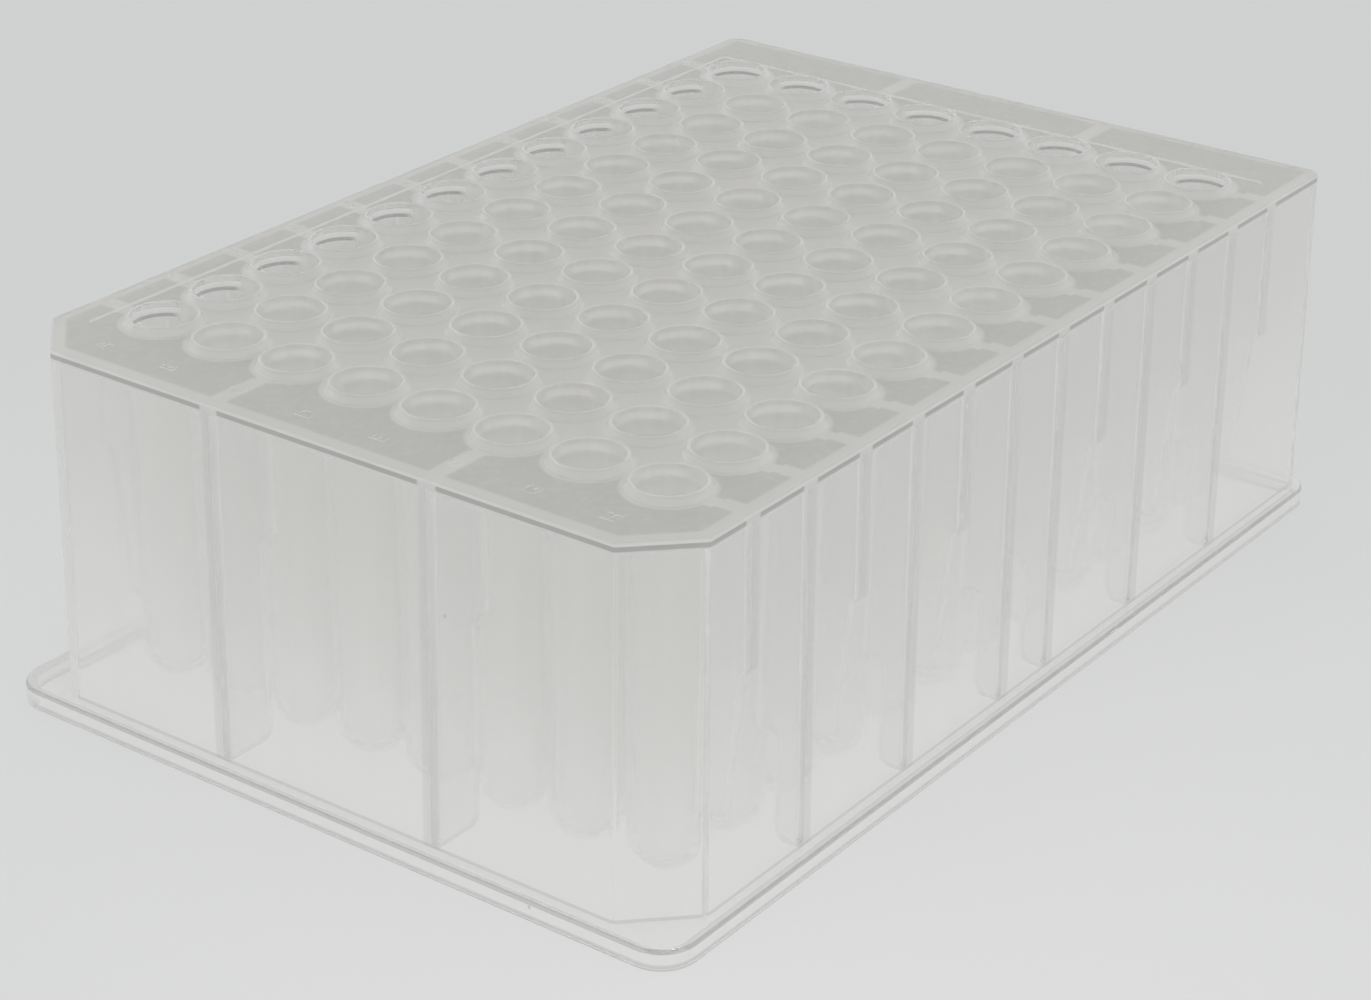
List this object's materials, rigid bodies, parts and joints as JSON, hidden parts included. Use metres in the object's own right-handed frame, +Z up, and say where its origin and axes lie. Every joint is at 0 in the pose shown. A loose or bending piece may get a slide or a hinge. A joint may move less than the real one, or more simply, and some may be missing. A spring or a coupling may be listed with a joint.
{
  "type": "well plate",
  "caption": "Deep well plate of translucent plastic: a rectangular skirted tray with rows of round-bottomed tubes hanging under a flat deck with raised rims.",
  "frame": {"origin": "middle of the footprint, on the surface that the plate stands on", "axes": "+X along the long side from column 1 to column 12, +Y along the short side from the last row to row A, +Z up"},
  "size_m": [0.1278, 0.0854, 0.0415],
  "materials": {
    "natural_plastic": "natural translucent polypropylene, smooth moulded skin, milky through its thickness"
  },
  "bodies": {
    "root": {"well_plate": "natural_plastic"}
  },
  "joints": []
}
